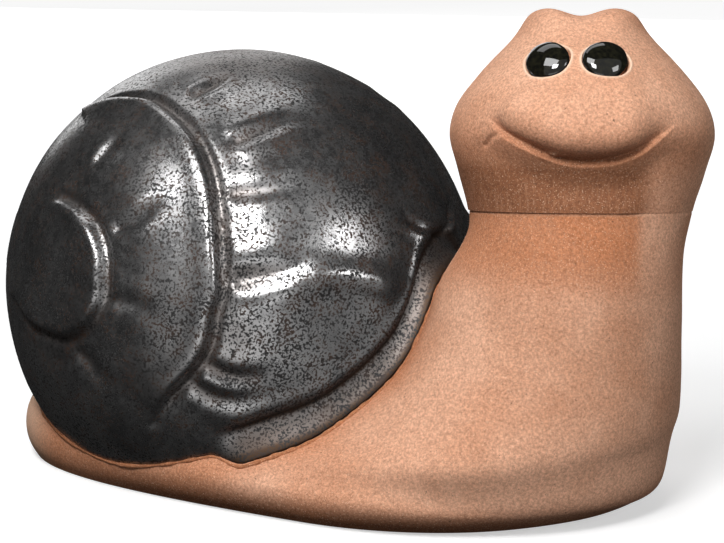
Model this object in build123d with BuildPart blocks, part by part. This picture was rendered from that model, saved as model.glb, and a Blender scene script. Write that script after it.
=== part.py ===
from math import cos, radians, sin, sqrt
import os

from build123d import *

# A hollow ceramic garden snail, in millimetres: an unglazed clay foot, breast and neck, a turned
# head with two glazed eyes, and a glazed ball shell with a raised spiral on both flanks.
# +X runs from the tail to the breast, +Z is up, and the face looks out over the -Y flank.

# Foot, breast and neck
foot_length = 266
foot_margin = -1.9  # from the ball's side at the foot's top out to the foot's side
foot_height = 20
foot_top_slope = 5  # degrees, the tail end higher
neck_height = 112
neck_diameter = 83
neck_reach_share = 0.88  # of foot_length, from the tail end to the middle of the neck
neck_side_shift = 4
body_wall = 8

# Head
head_height = 76
head_width = 99
head_depth = 98
head_turn = -62  # degrees about Z, from straight ahead towards the -Y flank
head_lean = 9  # degrees backwards, away from the face
brow_notch_radius = 32
brow_notch_depth = 2.2
mouth_gap = 3
mouth_depth = 2.4

# Eyes, ovals pressed into the clay
eye_width = 16.5
eye_height = 14
eye_dome_radius = 12
eye_dome_height = 4  # over the plane in which the eye is as wide as it gets
eye_spacing_share = 0.237  # of head_width
eye_lift_share = 0.743  # of head_height, above the neck joint
eye_shift_share = -0.026  # of head_width, both eyes sit a little to one side of the snout
eye_side_turn = 17  # degrees outwards
eye_upward_turn = 33  # degrees upwards
eye_reach_share = 0.388  # of head_depth, from the neck's axis forward to the eye's middle
eye_sink = 2.4  # from the eye's middle back to its flat seat
socket_gap = 0.7  # between the eye's edge and its socket

# Shell
shell_radius = 94
shell_sink = 44.5  # how far the ball reaches down past the top of the foot
shell_station_share = 0.325  # of foot_length, from the tail end to the middle of the shell
shell_wall = 8
coil_back_turn = 20.5  # degrees, each spiral's middle sits towards the tail
coil_rise = 12  # degrees, and above the middle of the ball
whorl_proud = 2.4
whorl_thickness = 20
apex_radius = 50  # of the ball whose cap is the innermost whorl
apex_proud = 4.2
suture_depth = 1.8
suture_slope = 0.7  # how much the suture widens on each side for each length of depth
suture_top = 7  # how high the cutter reaches over the ball
crease_radius = 6
crease_depth = 1.6
crease_length = 60
shell_floor = 9  # the ball is cut flat here, inside the foot

# Joints and underside
lute_thickness = 1.2
lute_proud = 0.9
lute_width = 7
lute_floor = 16  # the bead starts here, inside the foot's flanks
slab_thickness = 7
slab_recess = 0.8
slab_clearance = 0.3
slab_ledge = 5
vent_diameter = 10
frame_shift = 4.3  # back from the foot's own middle, so that the origin is the whole snail's middle
overrun = 20  # how far a cutting shape reaches past what it cuts

# Sections of the foot, each as shares: height of foot_height, tail end, widest place and front
# end of foot_length, half width of foot_width, and how full the tail end is.
foot_shares = [
    (0.0, 0.008, 0.59, 0.928, 0.464, 0.77),
    (0.22, -0.004, 0.59, 0.958, 0.490, 0.76),
    (0.62, -0.006, 0.61, 0.984, 0.502, 0.73),
    (0.90, 0.018, 0.64, 0.999, 0.484, 0.69),
]
# Sections of the breast and neck, the same shares but with heights of neck_height.
breast_shares = [
    (0.240, 0.22, 0.75, 1.014, 0.450, 0.40),
    (0.310, 0.44, 0.79, 1.022, 0.418, 0.43),
    (0.440, 0.60, 0.82, 1.026, 0.368, 0.50),
    (0.600, 0.66, 0.845, 1.029, 0.320, 0.55),
    (0.790, 0.695, 0.868, 1.031, 0.285, 0.5523),
]
round_share = 0.5523  # the handle that makes a Bezier quarter close to an ellipse
# The hollow under the breast: height of neck_height, tail end, widest place and front end of
# foot_length, half width of foot_width.
hollow_shares = [
    (0.42, 0.645, 0.81, 0.975, 0.290),
    (0.75, 0.730, 0.865, 0.990, 0.232),
]
# The opening under the breast that the slab closes, shares of foot_length and foot_width.
slab_shares = (0.56, 0.73, 0.875, 0.33, round_share)

# Sections of the head: height of head_height, half width of head_width, front and back reach of
# head_depth.
head_shares = [
    (0.12, 0.448, 0.435, 0.440),
    (0.25, 0.478, 0.465, 0.465),
    (0.38, 0.500, 0.520, 0.475),
    (0.52, 0.474, 0.512, 0.445),
    (0.65, 0.407, 0.450, 0.385),
    (0.78, 0.316, 0.355, 0.300),
    (0.90, 0.236, 0.258, 0.195),
    (0.975, 0.192, 0.200, 0.140),
    (1.00, 0.125, 0.130, 0.080),
]
# The smile line: sideways shares of head_width and upward shares of head_height.
mouth_line_shares = [(-0.375, 0.500), (-0.24, 0.375), (0.02, 0.268), (0.20, 0.305), (0.385, 0.505)]

# The hollow of the head: height of head_height and radius of neck_diameter.
head_hollow_shares = [(0.38, 0.41), (0.72, 0.20)]

# The suture that bounds the raised whorl: degrees round the coil from its top towards the front,
# and degrees away from the coil's axis.
suture_path = [
    (-95, 55), (-60, 52.5), (-20, 50), (20, 47.5), (60, 46), (100, 45.3), (140, 45), (175, 43.5),
    (210, 40), (245, 34), (280, 27), (315, 21.5), (350, 18.5), (385, 18), (420, 18), (455, 18.5),
    (490, 19), (525, 19.5), (560, 20.5),
]
# The raised whorl: degrees round the coil, degrees of its middle and half width, and the share of
# the proud height that it has there.
whorl_path = [
    (-90, 41, 12.5, 0.2), (-60, 38, 14.5, 0.9), (-30, 35, 15.5, 1), (5, 33.5, 15.5, 1),
    (40, 32.5, 15, 1), (75, 32, 14.5, 1), (110, 32, 14, 1), (145, 32, 13.5, 1),
    (180, 30, 12, 1), (210, 26, 9.5, 0.9), (238, 20.5, 7.5, 0.4),
]
# Where the innermost whorl's middle lies, and the growth creases, round the coil and off its axis.
apex_place = (-90, 2.5)
outer_crease_places = [(2, 62), (24, 64), (47, 60), (70, 63), (93, 61), (114, 60), (134, 62), (-28, 64)]
whorl_crease_places = [(12, 34), (60, 33), (104, 34), (150, 33), (-20, 36)]

seam_half_width = sqrt(shell_sink * (2 * shell_radius - shell_sink))
foot_width = 2 * (seam_half_width + foot_margin)
tail_x = -foot_length / 2 - frame_shift
shell_centre = Vector(tail_x + shell_station_share * foot_length, 0, foot_height + shell_radius - shell_sink)
ahead = Vector(1, 0, 0)
upward = Vector(0, 0, 1)
face_direction = Vector(cos(radians(head_turn)), sin(radians(head_turn)), 0)
neck_normal = upward * cos(radians(head_lean)) - face_direction * sin(radians(head_lean))
neck_centre = Vector(tail_x + neck_reach_share * foot_length, neck_side_shift, neck_height)
neck_plane = Plane(origin=neck_centre, x_dir=ahead - neck_normal * ahead.dot(neck_normal), z_dir=neck_normal)
face_forward = neck_normal.cross(face_direction).cross(neck_normal).normalized()
face_left = neck_normal.cross(face_forward)
head_plane = Plane(origin=neck_centre, x_dir=face_forward, z_dir=neck_normal)


def egg_section(plane, rear, widest, front, half_width, rear_fullness):
    """A closed outline, symmetric about the plane's X axis, from four Bezier quarters."""
    front_handle = round_share * (front - widest)
    rear_handle = rear_fullness * (widest - rear)
    with BuildSketch(plane) as section:
        with BuildLine():
            for side in (half_width, -half_width):
                Bezier(
                    (front, 0), (front, round_share * side), (widest + front_handle, side), (widest, side)
                )
                Bezier(
                    (widest, side), (widest - rear_handle, side), (rear, rear_fullness * side), (rear, 0)
                )
        make_face()
    return section.sketch


def ground_section(level, shares, grow, slope=0):
    """A section over the ground plane, from shares of the foot's length and width."""
    rear, widest, front, half, full = shares
    along = Vector(cos(radians(slope)), 0, -sin(radians(slope)))
    return egg_section(
        Plane(origin=(0, 0, level), x_dir=along, z_dir=along.cross(Vector(0, 1, 0))),
        tail_x + rear * foot_length - grow,
        tail_x + widest * foot_length,
        tail_x + front * foot_length + grow,
        half * foot_width + grow,
        full,
    )


def neck_section(plane, grow):
    radius = neck_diameter / 2 + grow
    return egg_section(plane, -radius, 0, radius, radius, round_share)


def body_sections(grow):
    """The outside of the foot, breast and neck from the sole up, grown outwards by a length."""
    sections = []
    for height, *shares in foot_shares:
        level = height * foot_height + (grow if height else 0)
        sections.append(ground_section(level, shares, grow, foot_top_slope * height))
    for height, *shares in breast_shares:
        sections.append(ground_section(height * neck_height + grow, shares, grow))
    sections.append(neck_section(neck_plane.offset(grow), grow))
    return sections


def head_sections(grow):
    """The outside of the head from the neck joint up, grown outwards by a length."""
    sections = [neck_section(head_plane.offset(lute_thickness), grow)]
    for height, half, front, back in head_shares:
        level = lute_thickness + height * (head_height - lute_thickness)
        sections.append(
            egg_section(
                head_plane.offset(level),
                -back * head_depth - grow,
                0,
                front * head_depth + grow,
                half * head_width + grow,
                round_share,
            )
        )
    return sections


def coil_direction(around, polar):
    """A unit vector from the middle of the shell, around and away from the -Y coil's axis."""
    back = radians(coil_back_turn)
    rise = radians(coil_rise)
    axis = Vector(-sin(back) * cos(rise), -cos(back) * cos(rise), sin(rise))
    front = upward.cross(axis).normalized()
    top = axis.cross(front)
    radial = top * cos(radians(around)) + front * sin(radians(around))
    return axis * cos(radians(polar)) + radial * sin(radians(polar))


def coil_plane(around, polar, distance):
    """A plane square to the coil's run, its X away from the axis and its Y out of the shell."""
    outward = coil_direction(around, polar)
    away = coil_direction(around, polar + 90)
    return Plane(origin=shell_centre + outward * distance, x_dir=away, z_dir=away.cross(outward))


def head_point(sideways, height, forward):
    return neck_centre + face_left * sideways + neck_normal * height + face_forward * forward


def eye_plane(side):
    """The plane of an eye's edge. side is 1 on the snail's left and -1 on its right."""
    middle = head_point(
        (eye_shift_share + side * eye_spacing_share / 2) * head_width,
        eye_lift_share * head_height,
        eye_reach_share * head_depth,
    )
    turn = radians(eye_side_turn) * side
    rise = radians(eye_upward_turn)
    outward = (
        face_forward * cos(turn) * cos(rise) + face_left * sin(turn) * cos(rise) + neck_normal * sin(rise)
    )
    return Plane(origin=middle, x_dir=neck_normal.cross(outward), z_dir=outward)


def eye_socket(side):
    """A straight oval well with a flat floor, a little larger than the bead."""
    with BuildPart() as well:
        with BuildSketch(eye_plane(side).offset(-eye_sink)):
            Ellipse(eye_width / 2 + socket_gap, eye_height / 2 + socket_gap)
        extrude(amount=eye_sink + overrun)
    return well.part


# Eyes, glazed oval beads with a domed face and a flat back
beads = []
for side, label in ((1, "eye_left"), (-1, "eye_right")):
    edge = eye_plane(side)
    with BuildPart() as bead:
        with BuildSketch(edge.offset(-eye_sink)):
            Ellipse(eye_width / 2, eye_height / 2)
        extrude(amount=eye_sink + eye_dome_height)
        with Locations(edge.offset(eye_dome_height - eye_dome_radius)):
            Sphere(eye_dome_radius, mode=Mode.INTERSECT)
    bead.part.label = label
    beads.append(bead)

# Foot, breast and neck, hollow under the breast
with BuildPart() as body_form:
    loft(sections=body_sections(0))

with BuildPart() as body_hollow:
    ceiling = slab_recess + slab_thickness
    opening = ground_section(ceiling, slab_shares, -slab_ledge)
    hollow_sections = [opening]
    for height, *shares in hollow_shares:
        hollow_sections.append(ground_section(height * neck_height, (*shares, round_share), 0))
    hollow_sections.append(neck_section(neck_plane.offset(overrun), -body_wall))
    loft(sections=hollow_sections, ruled=True)
    with BuildSketch() as rebate:
        add(ground_section(0, slab_shares, 0))
    extrude(amount=ceiling)
    with Locations((shell_centre.X, shell_centre.Y, 0)):
        Cylinder(vent_diameter / 2, foot_height + overrun, align=(Align.CENTER, Align.CENTER, Align.MIN))

with BuildPart() as body:
    add(body_form.part)
    add(body_hollow.part, mode=Mode.SUBTRACT)
body.part.label = "body"

with BuildPart() as base_slab:
    with BuildSketch(Plane.XY.offset(slab_recess)) as slab_outline:
        add(ground_section(0, slab_shares, -slab_clearance))
        slab_middle = tail_x + slab_shares[1] * foot_length
        with Locations((slab_middle, 0)):
            Circle(vent_diameter / 2, mode=Mode.SUBTRACT)
    extrude(amount=slab_thickness)
base_slab.part.label = "base_slab"

with BuildPart() as neck_lute:
    with BuildSketch(neck_plane):
        Circle(neck_diameter / 2)
        Circle(neck_diameter / 2 - body_wall, mode=Mode.SUBTRACT)
    extrude(amount=lute_thickness)
neck_lute.part.label = "neck_lute"

# Head
with BuildPart() as smile_cut:
    with BuildSketch(Plane(origin=neck_centre, x_dir=face_left, z_dir=face_forward)):
        with BuildLine():
            line = [(side * head_width, rise * head_height) for side, rise in mouth_line_shares]
            inner = line[1:-1]
            Spline(line[0], *[(x, y + mouth_gap / 2) for x, y in inner], line[-1])
            Spline(line[0], *[(x, y - mouth_gap / 2) for x, y in inner], line[-1])
        make_face()
    extrude(amount=head_depth)
    loft(sections=head_sections(-mouth_depth), mode=Mode.SUBTRACT)

with BuildPart() as head:
    loft(sections=head_sections(0))
    notch_centre = head_point(0, head_height + brow_notch_radius - brow_notch_depth, 0)
    with Locations(Plane(origin=notch_centre, x_dir=face_left, z_dir=face_forward)):
        Cylinder(brow_notch_radius, head_depth + overrun, mode=Mode.SUBTRACT)
    add(smile_cut.part, mode=Mode.SUBTRACT)
    add([eye_socket(1), eye_socket(-1)], mode=Mode.SUBTRACT)
    inside = [neck_section(head_plane, -body_wall)]
    for height, radius in head_hollow_shares:
        with BuildSketch(head_plane.offset(height * head_height)) as ring:
            Circle(radius * neck_diameter)
        inside.append(ring.sketch)
    loft(sections=inside, ruled=True, mode=Mode.SUBTRACT)
head.part.label = "head"

# Shell, with the raised whorls of one flank made first and mirrored
with BuildPart() as whorls:
    whorl_sections = []
    for around, polar, half, proud in whorl_path:
        depth = shell_radius + whorl_proud * proud - whorl_thickness / 2
        with BuildSketch(coil_plane(around, polar, depth)) as ring:
            Ellipse(shell_radius * radians(half), whorl_thickness / 2)
        whorl_sections.append(ring.sketch)
    loft(sections=whorl_sections)
    apex_centre = shell_centre + coil_direction(*apex_place) * (shell_radius + apex_proud - apex_radius)
    with Locations(apex_centre):
        Sphere(apex_radius)

with BuildPart() as grooves:
    notches = []
    for around, polar in suture_path:
        with BuildSketch(coil_plane(around, polar, shell_radius)) as notch:
            reach = suture_slope * (suture_depth + suture_top)
            with BuildLine():
                Polyline((0, -suture_depth), (reach, suture_top), (-reach, suture_top), close=True)
            make_face()
        notches.append(notch.sketch)
    loft(sections=notches)

with BuildPart() as creases:
    for places, surface in ((outer_crease_places, 0), (whorl_crease_places, whorl_proud)):
        for around, polar in places:
            distance = shell_radius + surface + crease_radius - crease_depth
            crease = coil_plane(around, polar, distance)
            with Locations(Plane(origin=crease.origin, x_dir=crease.y_dir, z_dir=crease.x_dir)):
                Cylinder(crease_radius, crease_length)

with BuildPart() as shell_hollow:
    inner_radius = shell_radius - shell_wall
    with BuildSketch(Plane.YZ.offset(shell_centre.X)):
        with BuildLine():
            corners = [
                (inner_radius * sin(radians(turn)), shell_centre.Z + inner_radius * cos(radians(turn)))
                for turn in (-90, -54, -18, 18, 54, 90)
            ]
            Polyline(*corners, close=True)
        make_face()
    revolve(axis=Axis(shell_centre, (0, 1, 0)))

with BuildPart() as saddle:
    loft(sections=body_sections(lute_thickness))

with BuildPart() as shell:
    with Locations(shell_centre):
        Sphere(shell_radius)
    add(whorls.part)
    add(mirror(whorls.part, about=Plane.XZ, mode=Mode.PRIVATE))
    for cutter in (grooves.part, creases.part):
        add(cutter, mode=Mode.SUBTRACT)
        add(mirror(cutter, about=Plane.XZ, mode=Mode.PRIVATE), mode=Mode.SUBTRACT)
    add(shell_hollow.part, mode=Mode.SUBTRACT)
    split(bisect_by=Plane.XY.offset(shell_floor), keep=Keep.TOP)
    add(saddle.part, mode=Mode.SUBTRACT)
shell.part.label = "shell"

with BuildPart() as shell_lute:
    with Locations(shell_centre):
        Sphere(shell_radius + lute_proud)
        Sphere(shell_radius - lute_width, mode=Mode.SUBTRACT)
    split(bisect_by=Plane.XY.offset(lute_floor), keep=Keep.TOP)
    add(saddle.part, mode=Mode.INTERSECT)
    add(body_form.part, mode=Mode.SUBTRACT)
    add(neck_lute.part, mode=Mode.SUBTRACT)
shell_lute.part.label = "shell_lute"

os.makedirs("parts", exist_ok=True)
for piece in (body, head, shell, base_slab, shell_lute, neck_lute, *beads):
    export_step(piece.part, f"parts/{piece.part.label}.step")
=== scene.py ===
import math

import bpy
import numpy as np
from mathutils import Matrix, Vector
from mathutils.bvhtree import BVHTree


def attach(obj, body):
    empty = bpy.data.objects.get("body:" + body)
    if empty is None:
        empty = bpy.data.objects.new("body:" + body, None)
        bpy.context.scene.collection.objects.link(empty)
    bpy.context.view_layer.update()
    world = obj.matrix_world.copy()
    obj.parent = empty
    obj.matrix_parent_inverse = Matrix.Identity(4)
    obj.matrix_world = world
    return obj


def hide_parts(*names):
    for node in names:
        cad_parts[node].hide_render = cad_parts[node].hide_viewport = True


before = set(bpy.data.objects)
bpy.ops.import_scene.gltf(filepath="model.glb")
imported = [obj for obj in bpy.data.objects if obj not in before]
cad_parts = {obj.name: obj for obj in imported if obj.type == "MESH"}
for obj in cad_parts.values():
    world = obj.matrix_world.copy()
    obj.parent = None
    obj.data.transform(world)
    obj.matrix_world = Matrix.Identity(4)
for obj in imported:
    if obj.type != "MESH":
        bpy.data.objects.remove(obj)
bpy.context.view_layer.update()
scene = bpy.context.scene
MM = 0.001

# Camera, from the photograph: the ball's outline fixes the distance and the focal length
photo_width = 724
photo_height = 543
sensor_width = 36.0
view_turn = math.radians(30)
view_lift = math.radians(12)
view_distance = 1.2
ball_pixel = (241, 284)
ball_pixel_radius = 233
ball_seen_radius = 0.093
ball_seen_centre = Vector((-0.0513, 0, 0.0695))

focal_pixels = ball_pixel_radius * math.sqrt(view_distance**2 - ball_seen_radius**2) / ball_seen_radius
view_right = Vector((math.cos(view_turn), math.sin(view_turn), 0))
view_back = Vector(
    (
        math.sin(view_turn) * math.cos(view_lift),
        -math.cos(view_turn) * math.cos(view_lift),
        math.sin(view_lift),
    )
)
view_up = view_back.cross(view_right)
aside = (ball_pixel[0] - photo_width / 2) / focal_pixels * view_distance
above = -(ball_pixel[1] - photo_height / 2) / focal_pixels * view_distance
eye_point = ball_seen_centre - view_right * aside - view_up * above + view_back * view_distance
camera = bpy.data.cameras.new("camera")
camera.sensor_width = sensor_width
camera.lens = focal_pixels / photo_width * sensor_width
camera.clip_start = 0.01
camera_object = bpy.data.objects.new("camera", camera)
scene.collection.objects.link(camera_object)
camera_object.matrix_world = (
    Matrix.Translation(eye_point) @ Matrix((view_right, view_up, view_back)).transposed().to_4x4()
)
scene.camera = camera_object


def sight(pixel):
    """The direction in which the camera sees a pixel of the photograph."""
    x = (pixel[0] - photo_width / 2) / focal_pixels
    y = -(pixel[1] - photo_height / 2) / focal_pixels
    return (view_right * x + view_up * y - view_back).normalized()


# Sizes of the clay, in millimetres, the same as the solid model's
foot_length = 266
foot_width = 156
foot_height = 20
foot_top_slope = 5
neck_height = 112
neck_diameter = 83
neck_reach = 234
neck_side_shift = 4
head_height = 76
head_width = 99
head_depth = 98
head_turn = -62
head_lean = 9
frame_shift = 4.3
tail_x = -foot_length / 2 - frame_shift
round_share = 0.5523

# Level as a share of the foot's or the neck's height, then rear end, widest place, front end and
# half width as shares of the foot's length and width, then how full the rear is
foot_shares = [
    (0.0, 0.008, 0.59, 0.928, 0.464, 0.77),
    (0.22, -0.004, 0.59, 0.958, 0.490, 0.76),
    (0.62, -0.006, 0.61, 0.984, 0.502, 0.73),
    (0.90, 0.018, 0.64, 0.999, 0.484, 0.69),
]
breast_shares = [
    (0.240, 0.22, 0.75, 1.014, 0.450, 0.40),
    (0.310, 0.44, 0.79, 1.022, 0.418, 0.43),
    (0.440, 0.60, 0.82, 1.026, 0.368, 0.50),
    (0.600, 0.66, 0.845, 1.029, 0.320, 0.55),
    (0.790, 0.695, 0.868, 1.031, 0.285, 0.5523),
]
slab_shares = (0.56, 0.73, 0.875, 0.33, round_share)
# Level, half width, front and back as shares of the head's height, width and depth
head_shares = [
    (0.12, 0.448, 0.435, 0.440),
    (0.25, 0.478, 0.465, 0.465),
    (0.38, 0.500, 0.520, 0.475),
    (0.52, 0.474, 0.512, 0.445),
    (0.65, 0.407, 0.450, 0.385),
    (0.78, 0.316, 0.355, 0.300),
    (0.90, 0.236, 0.258, 0.195),
    (0.975, 0.192, 0.200, 0.140),
    (1.00, 0.125, 0.130, 0.080),
]
slab_ceiling = 7.8
slab_ledge = 5
lute_thickness = 1.2
shell_radius = 94
shell_wall = 8
shell_station = 86.5
shell_lift = 69.5
shell_centre = np.array([tail_x + shell_station, 0, shell_lift])

# Directions at the neck joint, which leans back from the face
face = np.array([math.cos(math.radians(head_turn)), math.sin(math.radians(head_turn)), 0])
lean = math.radians(head_lean)
neck_normal = np.array([0, 0, math.cos(lean)]) - face * math.sin(lean)
neck_centre = np.array([tail_x + neck_reach, neck_side_shift, neck_height])
neck_x = np.array([1.0, 0, 0]) - neck_normal * neck_normal[0]
neck_x /= np.linalg.norm(neck_x)
neck_y = np.cross(neck_normal, neck_x)
face_forward = np.cross(np.cross(neck_normal, face), neck_normal)
face_forward /= np.linalg.norm(face_forward)
face_left = np.cross(neck_normal, face_forward)
face_angle = math.atan2(face_forward @ neck_y, face_forward @ neck_x)
up = np.array([0, 0, 1.0])

# How finely the meshes are divided
column_count = 600
body_row_count = 155
head_row_count = 230
crown_row_count = 14
shell_columns = 500
ball_row_count = 176

# The clay's columns are closer together on the side of the face
column_crowding = 0.62
sweep = np.linspace(0, 2 * math.pi, 4000)
crowding = 1 + column_crowding * np.cos(sweep - math.radians(head_turn))
filled = np.concatenate([[0], np.cumsum((crowding[1:] + crowding[:-1]) / 2)])
columns = np.interp(np.arange(column_count) / column_count, filled / filled[-1], sweep)


def smoothstep(zero_at, one_at, value):
    """A smooth step from 0 at the first limit to 1 at the second, which may be the smaller one."""
    t = np.clip((value - zero_at) / (one_at - zero_at), 0, 1)
    return t * t * (3 - 2 * t)


def bell(value, width):
    """1 at 0, falling smoothly to 0.37 at the width."""
    return np.exp(-((value / width) ** 2))


def lumps(points, size, seed):
    """Smooth noise between about -1 and 1, from a few crossed waves."""
    rng = np.random.default_rng(seed)
    total = np.zeros(points.shape[:-1])
    for _ in range(7):
        direction = rng.normal(size=3)
        direction /= np.linalg.norm(direction)
        wave = points @ direction * (2 * math.pi / size) * rng.uniform(0.6, 1.5)
        total += np.sin(wave + rng.uniform(0, 6.28))
    return total / 3.2


def egg_radius(angles, rear, front, half, fullness):
    """Distance from the widest place to an egg outline made of Bezier quarters."""
    t = np.linspace(0, 1, 160)[:, None]
    weights = np.hstack([(1 - t) ** 3, 3 * t * (1 - t) ** 2, 3 * t * t * (1 - t), t**3])
    ahead = weights @ np.array(
        [(front, 0), (front, round_share * half), (round_share * front, half), (0, half)]
    )
    behind = weights @ np.array([(0, half), (-fullness * rear, half), (-rear, fullness * half), (-rear, 0)])
    outline = np.vstack([ahead, behind[1:]])
    folded = np.abs((angles + math.pi) % (2 * math.pi) - math.pi)
    outline_angles = np.arctan2(outline[:, 1], outline[:, 0])
    return np.interp(folded, outline_angles, np.hypot(outline[:, 0], outline[:, 1]))


def ring(centre, x_dir, y_dir, radii):
    """Points round a centre, one for each column."""
    return centre + radii[:, None] * (np.cos(columns)[:, None] * x_dir + np.sin(columns)[:, None] * y_dir)


def ground_ring(level, shares, slope=0.0):
    """A cross-section of the foot or the breast."""
    rear, widest, front, half, fullness = shares
    along = np.array([math.cos(math.radians(slope)), 0, -math.sin(math.radians(slope))])
    centre = np.array([0, 0, level]) + along * (tail_x + widest * foot_length)
    radii = egg_radius(
        columns,
        (widest - rear) * foot_length,
        (front - widest) * foot_length,
        half * foot_width,
        fullness,
    )
    return ring(centre, along, np.array([0, 1.0, 0]), radii)


def head_ring(level, half, front, back):
    """A cross-section of the head, square to the neck."""
    radii = egg_radius(columns - face_angle, back, front, half, round_share)
    return ring(neck_centre + neck_normal * level, neck_x, neck_y, radii)


def spline_rows(knots, places, wanted):
    """Natural cubic spline through rows of points."""
    gaps = np.diff(knots)
    count = len(knots)
    matrix = np.eye(count)
    right = np.zeros((count,) + places.shape[1:])
    for k in range(1, count - 1):
        matrix[k, k - 1] = gaps[k - 1]
        matrix[k, k] = 2 * (gaps[k - 1] + gaps[k])
        matrix[k, k + 1] = gaps[k]
        right[k] = 6 * (
            (places[k + 1] - places[k]) / gaps[k] - (places[k] - places[k - 1]) / gaps[k - 1]
        )
    bends = np.linalg.solve(matrix, right.reshape(count, -1)).reshape(right.shape)
    spans = np.clip(np.searchsorted(knots, wanted, side="right") - 1, 0, count - 2)
    h = gaps[spans][:, None, None]
    a = (knots[spans + 1] - wanted)[:, None, None]
    b = (wanted - knots[spans])[:, None, None]
    return (
        bends[spans] * a**3 / (6 * h)
        + bends[spans + 1] * b**3 / (6 * h)
        + (places[spans] / h - bends[spans] * h / 6) * a
        + (places[spans + 1] / h - bends[spans + 1] * h / 6) * b
    )


def grid_faces(rows, around, offset=0):
    """Quads of a grid of rows, wrapped round."""
    i, j = np.meshgrid(np.arange(rows - 1), np.arange(around), indexing="ij")
    following = (j + 1) % around
    corners = [i * around + j, i * around + following, (i + 1) * around + following, (i + 1) * around + j]
    return np.stack(corners, axis=-1).reshape(-1, 4) + offset


def fan_faces(row_start, around, tip):
    """Triangles from a closed row to one point."""
    return [(row_start + j, row_start + (j + 1) % around, tip) for j in range(around)]


def grid_normals(rows):
    """Outward normals of a wrapped grid."""
    across = np.roll(rows, -1, axis=1) - np.roll(rows, 1, axis=1)
    along = np.gradient(rows, axis=0)
    normals = np.cross(across, along)
    return normals / np.maximum(np.linalg.norm(normals, axis=2, keepdims=True), 1e-12)


def make_object(name, points, faces):
    """A smooth-shaded object, its points in metres."""
    mesh = bpy.data.meshes.new(name)
    mesh.from_pydata(points.tolist(), [], [list(f) for f in faces])
    mesh.update()
    mesh.polygons.foreach_set("use_smooth", [True] * len(mesh.polygons))
    obj = bpy.data.objects.new(name, mesh)
    scene.collection.objects.link(obj)
    return obj


def smooth_line(points, per_span=8):
    """A Catmull-Rom line through points."""
    p = np.vstack([2 * points[0] - points[1], points, 2 * points[-1] - points[-2]])
    line = []
    for k in range(1, len(p) - 2):
        for t in np.linspace(0, 1, per_span, endpoint=False):
            line.append(
                0.5
                * (
                    2 * p[k]
                    + (p[k + 1] - p[k - 1]) * t
                    + (2 * p[k - 1] - 5 * p[k] + 4 * p[k + 1] - p[k + 2]) * t * t
                    + (3 * p[k] - p[k - 1] - 3 * p[k + 1] + p[k + 2]) * t**3
                )
            )
    line.append(points[-1])
    return np.array(line)


def line_distance(points, line, normals):
    """Signed distance to a line lying on a surface, and how far along the line, from 0 to 1.
    It is positive to the left of the line's run, seen from outside."""
    best = np.full(len(points), 1e9)
    sign = np.ones(len(points))
    place = np.zeros(len(points))
    spans = len(line) - 1
    for k in range(spans):
        a = line[k]
        run = line[k + 1] - a
        t = np.clip((points - a) @ run / (run @ run), 0, 1)
        off = points - (a + t[:, None] * run)
        distance = np.linalg.norm(off, axis=1)
        side = np.einsum("ij,ij->i", np.cross(run, off), normals)
        closer = distance < best
        best = np.where(closer, distance, best)
        sign = np.where(closer, np.sign(side), sign)
        place = np.where(closer, (k + t) / spans, place)
    return best * sign, place


def tree_of(points, faces):
    """A surface that rays and nearest points can be looked up on."""
    return BVHTree.FromPolygons([Vector(p) for p in points], [list(f) for f in faces])


def pixels_on(tree, pixels):
    """Where the camera's sight of some pixels meets a surface, in millimetres."""
    found = []
    for pixel in pixels:
        hit = tree.ray_cast(Vector(eye_point) / MM, sight(pixel))
        if hit[0] is not None:
            found.append(np.array(hit[0]))
    return np.array(found)


def above_neck(points):
    """Height over the neck joint, along the neck."""
    return (points - neck_centre) @ neck_normal


def round_neck(points):
    """Angle about the neck."""
    offset = points - neck_centre
    return np.arctan2(offset @ neck_y, offset @ neck_x)


# The clay is tooled on one side of the neck joint, with its middle at this angle
tooled_turn = math.radians(-94)


def tooled_share(points, zero_at, one_at):
    """1 where the clay is tooled and 0 where it isn't. The limits are cosines of the angle from
    the middle of the tooled side."""
    return smoothstep(zero_at, one_at, np.cos(round_neck(points) - tooled_turn))


# Rows of the clay, from the ground to the neck joint and from there to the crown
rings = []
for lift, *shares in foot_shares:
    rings.append(ground_ring(lift * foot_height, shares, foot_top_slope * lift))
for lift, *shares in breast_shares:
    rings.append(ground_ring(lift * neck_height, shares))
neck_row = len(rings)
neck_radius = neck_diameter / 2
rings.append(head_ring(0, neck_radius, neck_radius, neck_radius))
for lift, half, front, back in head_shares:
    level = lute_thickness + lift * (head_height - lute_thickness)
    rings.append(head_ring(level, half * head_width, front * head_depth, back * head_depth))
rings = np.array(rings)
steps = np.linalg.norm(np.diff(rings, axis=0), axis=2).mean(axis=1)
knots = np.concatenate([[0], np.cumsum(steps)])

body_rows = spline_rows(knots, rings, np.linspace(0, knots[neck_row], body_row_count))
body_rows[:, :, 2] = np.maximum(body_rows[:, :, 2], 0)
# The head starts just inside the slip's top
head_start = knots[neck_row] + lute_thickness * 0.98
head_rows = spline_rows(knots, rings, np.linspace(head_start, knots[-1], head_row_count))
crown_rise = 0.9
top_ring = head_rows[-1]
top_middle = top_ring.mean(axis=0)
crown = []
for share in np.linspace(0.9, 0.05, crown_row_count):
    crown.append(top_middle + (top_ring - top_middle) * share + neck_normal * crown_rise * (1 - share**2))
head_rows = np.concatenate([head_rows, np.array(crown)])

# Head, with the smile, the sockets and the brow worked into its rows
head_shape = head_rows.shape
head_base = head_rows.reshape(-1, 3)
head_normals = grid_normals(head_rows).reshape(-1, 3)
head_tree = tree_of(head_base, grid_faces(head_shape[0], column_count))

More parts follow.
